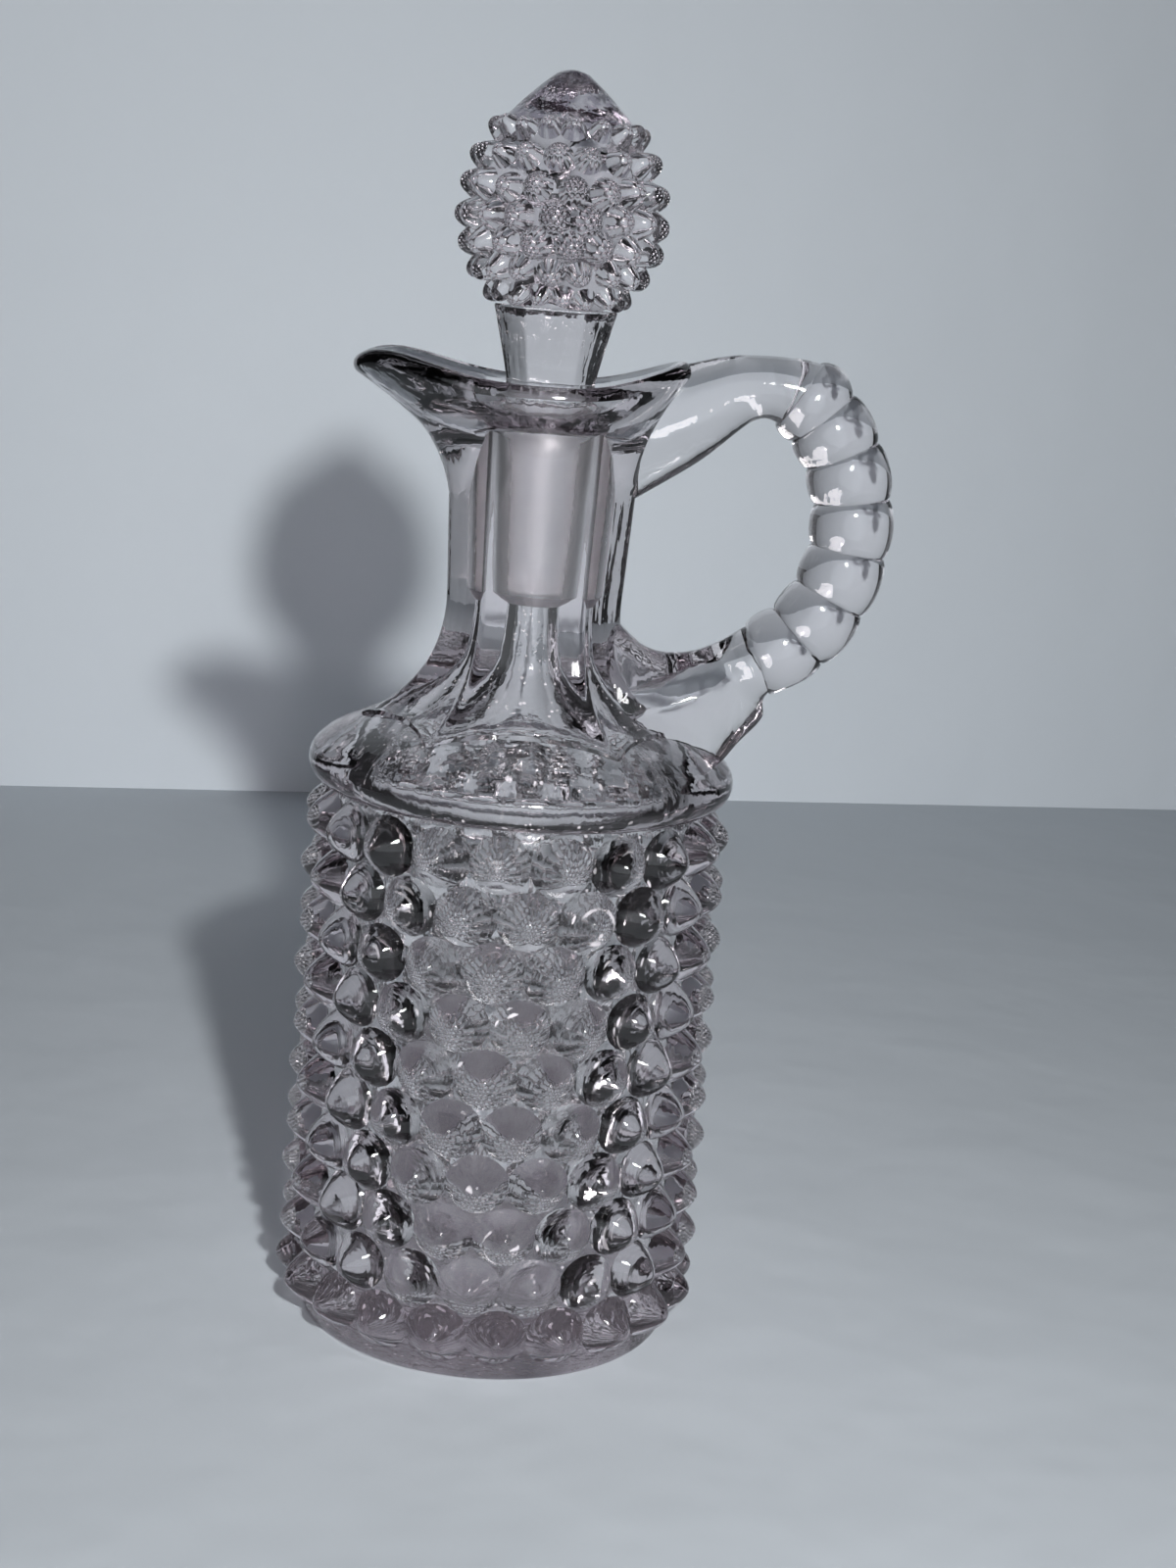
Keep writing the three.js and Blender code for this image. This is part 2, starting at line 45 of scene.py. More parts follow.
# Barrel
BARREL_RADIUS = 22.5
BARREL_FLARE = 0.6
BARREL_WALL = 3.2
BARREL_SIDES = 120
BARREL_STEPS = 6
BARREL_INTO_RING = 1.4
BASE_THICKNESS = 5.5
BASE_EDGE = 0.6
BASE_EDGE_RUN = 0.3
BASE_EDGE_HEIGHTS = (0.1, 0.3, 1.2)
BASE_EDGE_STEPS = 3
UNDERSIDE = 0.01
HOBS_PER_ROW = 20
HOB_ROWS = 10
HOB_ROW_PITCH = 6.38
HOB_HEIGHT = 3.5
HOB_RADIUS = 3.6
HOB_SIDES = 20
HOB_SWELL = 1.75
HOB_RINGS = (1.2, 0.97, 0.82, 0.65, 0.46, 0.27, 0.09)
LOWEST_ROW_HEIGHT = 5.4
HOB_TURN = -3.8
HOB_WIDTH_PLAY = 0.03
HOB_HEIGHT_PLAY = 0.02
UNEVEN_WAVES = (78.233, 12.9898, 437.5)

# Shoulder
RING_RADIUS = 25.7
RING_HEIGHT = 5.2
RING_ROUNDING = 2.5
RING_ROUND_FROM = -90
RING_ROUND_TO = 60
RING_STEPS = 9
DOME_RISE = 6.4
DOME_FULLNESS = 21.5
DOME_STEPS = 8
AXIS_GAP = 0.01

# Neck. The flare runs from the dome to the waist through radii and heights over the ring
NECK_HEIGHT = 39.1
NECK_FOOT_RADIUS = 20.5
NECK_WAIST_RADIUS = 10.7
NECK_WAIST_RISE = 19.8
NECK_TOP_RADIUS = 11.6
NECK_FLARE = ((NECK_FOOT_RADIUS, 1.8), (NECK_WAIST_RADIUS + 2.2, 6.4),
              (NECK_WAIST_RADIUS - 0.7, 11.3), (NECK_WAIST_RADIUS, NECK_WAIST_RISE))
FLARE_SHARE = 0.6
NECK_STEPS = 24
FRONT_PANEL_HALF_ANGLE = 34
CORNERS = (-90, -FRONT_PANEL_HALF_ANGLE, FRONT_PANEL_HALF_ANGLE, 90,
           180 - FRONT_PANEL_HALF_ANGLE, 180 + FRONT_PANEL_HALF_ANGLE, 270)
PANELS = 6
COLUMNS_PER_PANEL = 20
CORNER_CROWDING = 0.75
CORNER_SOFTNESS = 0.7
SEAM_START = 0.25
SEAM_HEIGHT = 0.5
SEAM_LEAN = (0.6, 0.8)
SEAM_WAVER = 0.4
SEAM_WAVES = (13, 31)

# Chamber, throat and ground seat
CHAMBER_CORNER = 3
CHAMBER_FLOOR_RISES = (0.8, 0.2, -0.4)
CHAMBER_FLOOR_START = 1
CHAMBER_FLOOR_STEPS = 14
CHAMBER_WALL_STEPS = 6
CHAMBER_TOP_DROP = 4
CHAMBER_SHOULDER_STEPS = 20
FILM_RISE = 0.9
THROAT_RADIUS = 3.1
THROAT_FOOT_RADIUS = 3.6
THROAT_FOOT_RISE = 10.8
THROAT_FOOT_FLARE = (1.9, 1.8)
THROAT_STRAIGHT = 3
SEAT_CHAMFER = 1.3
SEAT_CLEARANCE = 0.12
SEAT_MOUTH = (0.35, 0.6)
SEAT_STEPS = 4
HOLLOW_SIDES = 96

# Lip: sizes at the front, at the spout and at the handle
LIP_ROOT_OVERHANG = (-2.7, -0.7, -0.6)
LIP_ROOT_DROP = (4.8, 9.8, 8.3)
CREASE_OVERHANG = (0.2, 3, 1.2)
CREASE_DROP = (-0.2, 1.7, 0.3)
LIP_OVERHANG = (1.8, 11.5, 4.9)
LIP_BLEND = 3
LIP_STEPS = 7
LIP_BEND = (0.2, 0.55)
CREASE_STEPS = 5
CREASE_BEND = (0.4, 0.5)
RIM_THICKNESS = 2.5
RIM_HEIGHT = 3.2
RIM_STEPS = 8
SPOUT_RISE = 3.8
SPOUT_RISE_POWER = 4
SPOUT_TIP_DROP = 2.2
SPOUT_TIP_POWER = 24
HANDLE_SIDE_RISE = 3.5
SKIN_CLOSE_RADIUS = 3
SKIN_CLOSE_RISE = 2.5
BOWL_FLOOR_RADIUS = 6.95
BOWL_BEND = (0.45, 0.25)
BOWL_SIDES = 120
BOWL_STEPS = 10
BOWL_CUT_RISE = 12

# Handle. Each section has its ridge and its edges inside and outside the loop, as reach and
# height, and half of its depth. The arm's heights are over the floor of the bowl, and the foot's
# over the ring
ARM = (((8, -0.8), (10.7, -8.7), (5.3, 7.1), 3),
       ((16, 1.9), (18.2, -3.5), (13.8, 7.3), 3.6),
       ((23, 5.4), (24, 1.6), (22, 9.2), 3.9))
FOOT = (((24.3, 10.6), (21.2, 13.8), (28.5, 5.5), 4.2),
        ((21.9, 9.2), (17.8, 12.7), (26, 2.3), 4.6),
        ((18.2, 7.3), (13.8, 13.1), (23, -1.5), 5.2),
        ((14.3, 6), (10.1, 15.9), (19, -3), 5.9),
        ((10, 5.5), (6, 19), (14, -4), 6.3))
LOOP_CENTRE_REACH = 22.2
LOOP_CENTRE_HEIGHT = 29
LOOP_HALF_WIDTH = 14.7
LOOP_HALF_HEIGHT = 17.5
LOOP_TOP_ANGLE = 62
LOOP_SWEEP = 132
BEADS = 7
BEAD_SPREAD = 1.12
BEAD_RADIUS = 5.05
GROOVE_RADIUS = 4.25
WEDGE_START = 0.1
WEDGE_RIDGE = 1.75
WEDGE_INSIDE = 1.05
WEDGE_OUTSIDE = 1.45
HANDLE_SIDES = 32
STEPS_PER_SPAN = 10

# Stopper
PLUG_LENGTH = 19.2
PLUG_TOP_RADIUS = 5.95
PLUG_END_RADIUS = 4.85
PLUG_END_ROUNDING = 1.2
PLUG_END_STEPS = 6
PLUG_DOME = 1.6
PLUG_DOME_ANGLE = 70
PLUG_DOME_STEPS = 7
PLUG_BELOW_BOWL = 0.9
PLUG_SIDES = 96
PLUG_STEPS = 6
SHANK_RADIUS = 5.3
SHANK_TOP_RADIUS = 7.3
SHANK_STRAIGHT = 5.4
SHANK_LENGTH = 13.3
SHANK_INTO_KNOB = 0.5
SHANK_FLARE = (0.5, 2.6)
SHANK_FLARE_STEPS = 10
SHANK_SIDES = 6
SHANK_TURN = 30
SHANK_CORNER = 1.5
SHANK_CORNER_SEGMENTS = 6
KNOB_RADIUS = 10.6
KNOB_RISE = 14
KNOB_DROP = 13.3
KNOB_TAPER = 1.22
KNOB_SIDES = 80
KNOB_STEPS = 32
KNOB_ROWS = 7
KNOB_ROW_ANGLE = 13
KNOB_HOBS_PER_ROW = 17
KNOB_TURN = 5
KNOB_TOP_ROW_LIFT = 0.32
KNOB_HOB_HEIGHT = 1.9
KNOB_HOB_RADIUS = 1.85
KNOB_HOB_SIDES = 18
KNOB_HOB_SWELL = 2.5
KNOB_HOB_RINGS = (1.1, 1, 0.9, 0.78, 0.62, 0.42, 0.22, 0.07)
KNOB_HOB_NARROWING = 0.75
KNOB_PLACE_PLAY = 0.06
KNOB_WIDTH_PLAY = 0.05
CAP_RADIUS = 7.8
CAP_SINK = 0.9
CAP_HEIGHT = 5.6
CAP_EDGE = ((-1.6, -1.6), (-0.1, -0.4), (0.1, 0.3), (-0.5, 0.9))
CAP_EDGE_STEPS = 5
CAP_CONE_RADIUS = 4.8
CAP_CONE_RISE = 0.1
CAP_CONE_STEPS = 8
CAP_TIP = ((1.9, -0.5), (1, 0), (0.05, 0))
CAP_TIP_STEPS = 5
CAP_SIDES = 80

# Edges blunter than this angle are shaded smooth
SMOOTH_ANGLE = 32

# How often a search for a crossing halves its range
HALVINGS = 24

# Heights that follow
TOP_ROW = LOWEST_ROW_HEIGHT + (HOB_ROWS - 1) * HOB_ROW_PITCH
RING_FOOT = TOP_ROW + HOB_ROW_PITCH * 2 / 3
RING_TOP = RING_FOOT + RING_HEIGHT
BOWL_FLOOR = RING_TOP + NECK_HEIGHT
PLUG_TOP = BOWL_FLOOR - PLUG_BELOW_BOWL
PLUG_END = PLUG_TOP - PLUG_LENGTH
PLUG_TAPER = (PLUG_TOP_RADIUS - PLUG_END_RADIUS) / PLUG_LENGTH
SHANK_TOP = PLUG_TOP + SHANK_LENGTH
KNOB_TOP_ROW_ANGLE = KNOB_ROW_ANGLE * (KNOB_ROWS - 1) / 2
KNOB_EDGE_ANGLE = math.radians(KNOB_TOP_ROW_ANGLE + KNOB_ROW_ANGLE)
KNOB_MIDDLE = SHANK_TOP + KNOB_DROP * math.sin(KNOB_EDGE_ANGLE)
CAP_FOOT = KNOB_MIDDLE + KNOB_RISE * math.sin(KNOB_EDGE_ANGLE)

# Glass: what each finish has of the haze, the white bloom, the depth of the fine pits, the white
# specks painted in as glints, the dark mottles of painted shade and the depth of the upright
# streaks
FINISH_PARTS = ("haze", "bloom", "pits", "painted_glints", "smoke", "streaks")
CLEAR, CHAMBER, FILM_WITH_PAINTED_SHADE_AND_GLINTS, SEAT, PLUG, WORN_WITH_PAINTED_SHADE_AND_GLINTS, MOTTLED_PAINTED_SHADE, STREAKED = range(8)
FINISHES = {
    "clear": (0, 0, 0.01, 0, 0, 0.07),
    # The chamber's walls: white specks painted in as glints
    "chamber": (0.05, 0, 0.05, 0.9, 0, 0.07),
    # The floor of the chamber: a whitish film, with painted shade and white specks painted in as
    # glints
    "film": (0.16, 0.03, 0.2, 1.5, 0.3, 0.07),
    # The seat and the plug: a little painted shade
    "seat": (0.36, 0, 0.02, 0, 0.15, 0.07),
    "plug": (0.32, 0, 0.02, 0, 0.3, 0.07),
    # The underside: real wear, with painted shade and white specks painted in as glints
    "worn": (0.1, 0.04, 0.25, 3, 0.9, 0.07),
    # The cap: shade painted on in dark mottles, over fine pits
    "mottled_painted_shade": (0.04, 0, 0.12, 0, 2.1, 0.07),
    "streaked": (0.02, 0, 0.03, 0, 0, 0.24),
}
WHITE = (1, 1, 1, 1)
TINT = (0.901, 0.87, 0.886, 1)
TINT_DENSITY = 100
# Dark lilac of the shade painted into the glass in mottles
PAINTED_SHADE_COLOUR = (0.3, 0.28, 0.33, 1)
# White of the bloom, and also of the specks painted in as glints
BLOOM_AND_PAINTED_GLINT_WHITE = (0.8, 0.79, 0.83, 1)
GLASS_IOR = 1.5
LIGHT_THROUGH = 0.38
LIGHT_THROUGH_TINT = (0.95, 0.92, 0.94, 1)

# Noises in the glass. A ripple has its scale and its depth, and streaks are drawn out upright
CLOUD_SCALE = 300
CLOUD_MOST = 0.04
RIPPLES = ((130, 0.1), (420, 0.02))
STREAK_SCALE = 450
STREAK_DRAWN = 0.1
PIT_SCALE = 800
# Scale and range of the noise of the mottles of painted shade
PAINTED_SHADE_SCALE = 500
PAINTED_SHADE_RANGE = (-0.55, 1.35)
# White specks painted in as glints: their scale and edge, and the scale and edge of the patches
# that thin them out
GLINT_SPECK_SCALE = 900
GLINT_SPECK_EDGE = (0.22, 0.12)
GLINT_PATCH_SCALE = 250
GLINT_PATCH_EDGE = (0.45, 0.6)

# Floor and backdrop, with one crease between them
FLOOR_DROP = 0.00015
FLOOR_SIZE = (0.8, 0.56)
# The floor is the same cloth as the backdrop, with shade painted into its colour, which is darker
# than the backdrop's
FLOOR_COLOUR_WITH_PAINTED_SHADE = (0.5, 0.54, 0.58, 1)
BACKDROP_Y = 0.283
BACKDROP_TURN = 13.5
BACKDROP_SIZE = (0.74, 0.38)
BACKDROP_SHIFT = 0.17
BACKDROP_COLOUR = (0.66, 0.71, 0.76, 1)
CLOTH_ROUGHNESS = 0.7
CLOTH_WAVE_SCALE = 25
CLOTH_WAVE_DEPTH = 1.5

# Lamps: name, width, power and spread
KEY_PLACE = (0.06, -0.354, 0.238)
KEY_TARGET = (0.02, 0, 0.12)
LAMPS = (("key", 0.018, 0.76, 110), ("glow", 0.08, 0.32, 180))

# The room's light, and how strongly each kind of ray sees it
ROOM_COLOUR = (0.88, 0.94, 1, 1)
ROOM_FILL = 0.055
ROOM_SEEN = 0.45
ROOM_IN_GLASS = 0.02
FRONT_IN_GLASS = 1.4
FRONT_ZONE = (-0.8, -0.94)

# Camera where the photograph was taken from, its place in millimetres. It was solved in pixels of
# a picture 1600 high
CAMERA_PLACE = (0.6, -279.5, 130.9)
CAMERA_PITCH = 12.69
CAMERA_YAW = 1.56
CAMERA_ROLL = 4.66
FOCAL_PIXELS = 2404
PICTURE_HEIGHT = 1600
SENSOR_HEIGHT = 24


def mix(a, b, share):
    return a + (b - a) * share


def between(a, b, shares):
    """A point between two others, with one share outwards and one upwards."""
    return mix(a[0], b[0], shares[0]), mix(a[1], b[1], shares[1])


def uneven(row, n, most):
    """A small difference from hob to hob, the same at each making."""
    a, b, c = UNEVEN_WAVES
    return most * (2 * math.modf(abs(math.sin(row * a + n * b)) * c)[0] - 1)


def bezier(points, share):
    """The point of a Bezier curve at a share of its way, for any number of handles."""
    points = [Vector(p) for p in points]
    while len(points) > 1:
        points = [a.lerp(b, share) for a, b in zip(points, points[1:])]
    return points[0]


def curve(points, steps):
    return [tuple(bezier(points, k / steps)) for k in range(steps + 1)]


def straight(start, end, steps):
    """Points along a straight line, without its start."""
    return [between(start, end, (k / steps, k / steps)) for k in range(1, steps + 1)]


def arc(centre, radii, start, end, steps):
    turns = [math.radians(mix(start, end, k / steps)) for k in range(steps + 1)]
    return [(centre[0] + radii[0] * math.cos(t), centre[1] + radii[1] * math.sin(t))
            for t in turns]


def polar(radius, degrees, height):
    """A place by its distance from the axis and its angle from the front towards the handle."""
    turn = math.radians(degrees)
    return Vector((radius * math.sin(turn), -radius * math.cos(turn), height)) * MM


# Modelling as by hand
def mark(piece, choose=lambda height: CLEAR):
    """Marks each face of a form with its finish, by height."""
    for name in FINISHES:
        material = bpy.data.materials.get(name) or bpy.data.materials.new(name)
        piece.data.materials.append(material)
    for face in piece.data.polygons:
        face.material_index = choose(face.center.z / MM)


def blow_in(piece, material):
    """Gives a finished piece its one glass. The marks become the parts of its finishes."""
    levels = list(FINISHES.values())
    marks = [face.material_index for face in piece.data.polygons]
    for n, part in enumerate(FINISH_PARTS):
        layer = piece.data.attributes.new(part, "FLOAT", "FACE")
        layer.data.foreach_set("value", [levels[m][n] for m in marks])
    piece.data.polygons.foreach_set("material_index", [0] * len(marks))
    piece.data.materials.clear()
    piece.data.materials.append(material)


def clear_selection():
    if bpy.context.object and bpy.context.object.mode != "OBJECT":
        bpy.ops.object.mode_set(mode="OBJECT")
    bpy.ops.object.select_all(action="DESELECT")


def pick(piece):
    clear_selection()
    piece.select_set(True)
    bpy.context.view_layer.objects.active = piece


def disc(name, radius, height, sides, turn=0):
    """A flat disc on the axis, which a form is then pulled up from."""
    clear_selection()
    bpy.ops.mesh.primitive_circle_add(vertices=sides, radius=radius * MM, fill_type="NGON",
                                      location=(0, 0, height * MM),
                                      rotation=(0, 0, math.radians(turn)))
    piece = bpy.context.object
    piece.name = name
    piece.data.name = name
    bpy.ops.object.transform_apply(location=True, rotation=True, scale=True)
    bpy.ops.object.mode_set(mode="EDIT")
    bpy.ops.mesh.select_all(action="SELECT")
    return piece


def outward(piece):
    pick(piece)
    bpy.ops.object.mode_set(mode="EDIT")
    bpy.ops.mesh.select_all(action="SELECT")
    bpy.ops.mesh.normals_make_consistent(inside=False)
    bpy.ops.object.mode_set(mode="OBJECT")


def turned(name, profile, sides, turn=0):
    """A form turned on the axis: a disc is pulled up and scaled, one ring for each place of the
    profile of radius and height."""
    piece = disc(name, profile[0][0], profile[0][1], sides, turn)
    for (radius, height), (next_radius, next_height) in zip(profile, profile[1:]):
        bpy.ops.mesh.extrude_region_move(
            TRANSFORM_OT_translate={"value": (0, 0, (next_height - height) * MM)})
        scale = next_radius / radius
        bpy.ops.transform.resize(value=(scale, scale, 1), center_override=(0, 0, next_height * MM))
    outward(piece)
    return piece


def stacked(name, rings):
    """A form pulled up ring by ring from a disc, with each ring's points then put in place."""
    sides = len(rings[0])
    piece = disc(name, 10, 0, sides)
    for _ in rings[1:]:
        bpy.ops.mesh.extrude_region_move(TRANSFORM_OT_translate={"value": (0, 0, MM)})
    bpy.ops.object.mode_set(mode="OBJECT")
    for vertex in piece.data.vertices:
        level = round(vertex.co.z / MM)
        turn = math.atan2(vertex.co.y, vertex.co.x) / (2 * math.pi)
        vertex.co = rings[level][round(turn * sides) % sides]
    outward(piece)
    return piece


def skinned(name, columns):
    """A form given as upright lines of radius and height round the axis, each with its angle."""
    rings = []
    for level in range(len(columns[0][1])):
        rings.append([polar(line[level][0], degrees, line[level][1])
                      for degrees, line in columns])
    return stacked(name, rings)


def fuse(piece, other, how):
    """Joins another form to a piece, or cuts it out of it."""
    for form in (piece, other):
        if not form.data.materials:
            mark(form)
    pick(piece)
    modifier = piece.modifiers.new(how.title(), "BOOLEAN")
    modifier.operation = how
    modifier.solver = "MANIFOLD"
    modifier.object = other
    bpy.ops.object.modifier_apply(modifier=modifier.name)
    bpy.data.objects.remove(other)


def joined(pieces):
    """One mesh of several separate forms."""
    clear_selection()
    for piece in pieces:
        piece.select_set(True)
    bpy.context.view_layer.objects.active = pieces[0]
    bpy.ops.object.join()
    return pieces[0]


def smooth(piece):
    pick(piece)
    bpy.ops.object.shade_smooth_by_angle(angle=math.radians(SMOOTH_ANGLE))


# Hobs
def hob(name, radius, height, rings, sides, swell):
    """One hob, from its foot sunk in the wall to its round tip."""
    return turned(name, [(radius * r, height * (1 - r ** swell)) for r in rings], sides)


def set_hobs(pattern, places):
    """Copies of one hob, each with its own mesh, standing on the given places: row, number,
    point, direction out of the surface, and the shares of the full width and height. They are
    joined in six sets, in each of which no hob touches another."""
    sets = {}
    for row, n, point, out, width, height in places:
        copy = pattern.copy()
        copy.data = pattern.data.copy()
        copy.name = "%s_%d_%d" % (pattern.name, row, n)
        bpy.context.scene.collection.objects.link(copy)
        turn = out.to_track_quat("Z", "Y").to_matrix().to_4x4()
        size = Matrix.Diagonal((width, width, height, 1))
        copy.data.transform(Matrix.Translation(point) @ turn @ size)
        sets.setdefault((row % 2, n % 3), []).append(copy)
    bpy.data.objects.remove(pattern)
    return [joined(hobs) for hobs in sets.values()]


def barrel():
    foot = BARREL_RADIUS + BARREL_FLARE
    low, middle, top = BASE_EDGE_HEIGHTS
    profile = [(foot - BASE_EDGE, 0)]
    profile += curve([(foot - BASE_EDGE + BASE_EDGE_RUN, low), (foot, middle), (foot, top)],
                     BASE_EDGE_STEPS)
    profile += straight((foot, top), (BARREL_RADIUS, RING_FOOT + BARREL_INTO_RING), BARREL_STEPS)
    core = turned("barrel", profile, BARREL_SIDES)
    # The underside is worn, with painted shade and white specks painted in as glints
    mark(core, lambda height: WORN_WITH_PAINTED_SHADE_AND_GLINTS if height < UNDERSIDE else CLEAR)
    pattern = hob("hob", HOB_RADIUS, HOB_HEIGHT, HOB_RINGS, HOB_SIDES, HOB_SWELL)
    places = []
    for row in range(HOB_ROWS):
        radius = BARREL_RADIUS + BARREL_FLARE * row / HOB_ROWS
        height = TOP_ROW - row * HOB_ROW_PITCH
        for n in range(HOBS_PER_ROW):
            degrees = HOB_TURN + (n + (row % 2) / 2) * 360 / HOBS_PER_ROW
            wide = 1 + uneven(row, n, HOB_WIDTH_PLAY)
            tall = 1 + uneven(n, row, HOB_HEIGHT_PLAY) - HOB_HEIGHT_PLAY
            places.append((row, n, polar(radius, degrees, height), polar(1, degrees, 0),
                           wide, tall))
    for hobs in set_hobs(pattern, places):
        fuse(core, hobs, "UNION")
    return core


# Shoulder, neck and lip, pulled up as one skin
RING_LINE = arc((RING_RADIUS - RING_ROUNDING, RING_FOOT + RING_HEIGHT / 2),
                (RING_ROUNDING, RING_HEIGHT / 2), RING_ROUND_FROM, RING_ROUND_TO, RING_STEPS)


def dome_point(share):
    """A point of the dome, from the edge of the ring (0) to the axis (1)."""
    return bezier([RING_LINE[-1], (DOME_FULLNESS, RING_TOP + DOME_RISE / 2),
                   (AXIS_GAP, RING_TOP + DOME_RISE)], share)


def neck_corner(share):
    """The corner of the panels, from the foot on the dome (0) to the floor of the bowl (1)."""
    if share < FLARE_SHARE:
        return bezier([(radius, RING_TOP + rise) for radius, rise in NECK_FLARE],
                      share / FLARE_SHARE)
    up = (share - FLARE_SHARE) / (1 - FLARE_SHARE)
    return Vector((mix(NECK_WAIST_RADIUS, NECK_TOP_RADIUS, up),
                   mix(RING_TOP + NECK_WAIST_RISE, BOWL_FLOOR, up)))


def side_share(degrees, power):
    """How far an angle is towards the spout and towards the handle."""
    reach = math.sin(math.radians(degrees))
    return max(0, -reach) ** power, max(0, reach) ** power


def round_the_lip(degrees, sizes):
    """A size of the lip at an angle, from its sizes at the front, the spout and the handle."""
    front, spout, handle = sizes
    to_spout, to_handle = side_share(degrees, LIP_BLEND)
    return front + (spout - front) * to_spout + (handle - front) * to_handle


def panel_distance(n, degrees, share):
    """How far from the axis a ray at an angle meets the plane of a panel."""
    first, last = CORNERS[n % PANELS], CORNERS[n % PANELS + 1]
    radius = neck_corner(share).x
    a = polar(radius, first, 0)
    along = polar(radius, last, 0) - a
    ray = polar(1 / MM, degrees, 0)
    across = ray.x * along.y - ray.y * along.x
    return abs((a.x * along.y - a.y * along.x) / across) / MM


def neck_point(n, degrees, share):
    """A point of the panelled neck, with its upright corners a little rounded."""
    radius = panel_distance(n, degrees, share)
    for beside in (n - 1, n + 1):
        other = panel_distance(beside, degrees, share)
        near = max(CORNER_SOFTNESS - abs(radius - other), 0) / CORNER_SOFTNESS
        radius = min(radius, other) - near * near * CORNER_SOFTNESS / 4
    return Vector((radius, neck_corner(share).y))


def crossing(inside, low, high):
    """The share at which a test stops holding, found by halving."""
    for _ in range(HALVINGS):
        middle = (low + high) / 2
        if inside(middle):
            low = middle
        else:
            high = middle
    return low


def dome_share(radius):
    return crossing(lambda s: dome_point(s).x > radius, 0, 1)


def neck_share(height):
    return crossing(lambda s: neck_corner(s).y < height, 0, 1.05)


def rim_height(degrees):
    spout = side_share(degrees, 1)[0]
    handle = side_share(degrees, LIP_BLEND)[1]
    rise = SPOUT_RISE * spout ** SPOUT_RISE_POWER + HANDLE_SIDE_RISE * handle
    return BOWL_FLOOR + RIM_HEIGHT + rise - SPOUT_TIP_DROP * spout ** SPOUT_TIP_POWER


def lip_place(degrees, overhang, drop):
    return Vector((NECK_TOP_RADIUS + round_the_lip(degrees, overhang),
                   BOWL_FLOOR - round_the_lip(degrees, drop)))


def lip_wall(degrees, share):
    """The outside of the lip, from its root in the neck (0) up to the crease (1)."""
    root = lip_place(degrees, LIP_ROOT_OVERHANG, LIP_ROOT_DROP)
    crease = lip_place(degrees, CREASE_OVERHANG, CREASE_DROP)
    return bezier([root, between(root, crease, LIP_BEND), crease], share)


def rim_line(degrees):
    """The round of the rim, from outside to inside."""
    half = RIM_THICKNESS / 2
    crease = lip_wall(degrees, 1)
    middle = (NECK_TOP_RADIUS + round_the_lip(degrees, LIP_OVERHANG) - half, rim_height(degrees))
    lean = math.degrees(math.atan2(middle[1] - crease.y, middle[0] - crease.x))
    return arc(middle, (half, half), lean - 90, lean + 90, RIM_STEPS)


def column(n, degrees):
    """One upright line of the skin: round the ring, over the dome, up a panel, out along the lip
    and round the rim."""
    def under_dome(share):
        point = neck_point(n, degrees, share)
        return point.y < dome_point(dome_share(point.x)).y

    def in_neck(share):
        wall = lip_wall(degrees, share)
        return wall.x < neck_point(n, degrees, neck_share(wall.y)).x

    foot = crossing(under_dome, 0, 0.5)
    meet = neck_point(n, degrees, foot)
    end = dome_share(meet.x)
    line = list(RING_LINE)
    line += [tuple(dome_point(end * k / DOME_STEPS)) for k in range(1, DOME_STEPS)]
    before = dome_point(end).lerp(dome_point(end * (DOME_STEPS - 1) / DOME_STEPS), SEAM_START)
    turn = math.radians(degrees)
    waver = SEAM_WAVER * math.sin(turn * SEAM_WAVES[0]) * math.sin(turn * SEAM_WAVES[1])
    seam = SEAM_HEIGHT * (1 + waver)
    line += [tuple(before), (meet.x + SEAM_LEAN[0] * seam, meet.y + SEAM_LEAN[1] * seam)]

    leave = crossing(in_neck, 0, 1)
    top = neck_share(lip_wall(degrees, leave).y)
    line += [tuple(neck_point(n, degrees, mix(foot, top, k / NECK_STEPS)))
             for k in range(1, NECK_STEPS + 1)]
    line += [tuple(lip_wall(degrees, mix(leave, 1, k / LIP_STEPS)))
             for k in range(1, LIP_STEPS + 1)]
    rim = rim_line(degrees)
    crease = line[-1]
    line += curve([crease, between(crease, rim[0], CREASE_BEND), rim[0]], CREASE_STEPS)[1:]
    line += rim[1:]
    return line + [(SKIN_CLOSE_RADIUS, BOWL_FLOOR + SKIN_CLOSE_RISE)]


def upper_skin():
    """The skin of upright lines, which crowd towards the corners of the panels."""
    columns = []
    for n in range(PANELS):
        for k in range(COLUMNS_PER_PANEL):
            even = k / COLUMNS_PER_PANEL
            crowded = even - math.sin(2 * math.pi * even) / (2 * math.pi)
            degrees = mix(CORNERS[n], CORNERS[n + 1], mix(even, crowded, CORNER_CROWDING))
            columns.append((degrees, column(n, degrees)))
    return skinned("cruet_glass", columns)


def bowl():
    """The hollow of the lip, carried up past the rim."""
    columns = []
    for n in range(BOWL_SIDES):
        degrees = n * 360 / BOWL_SIDES
        inside = rim_line(degrees)[-1]
        floor_edge = (BOWL_FLOOR_RADIUS, BOWL_FLOOR)
        line = curve([floor_edge, between(floor_edge, inside, BOWL_BEND), inside], BOWL_STEPS)
        columns.append((degrees, line + [(inside[0], inside[1] + BOWL_CUT_RISE)]))
    return skinned("bowl", columns)


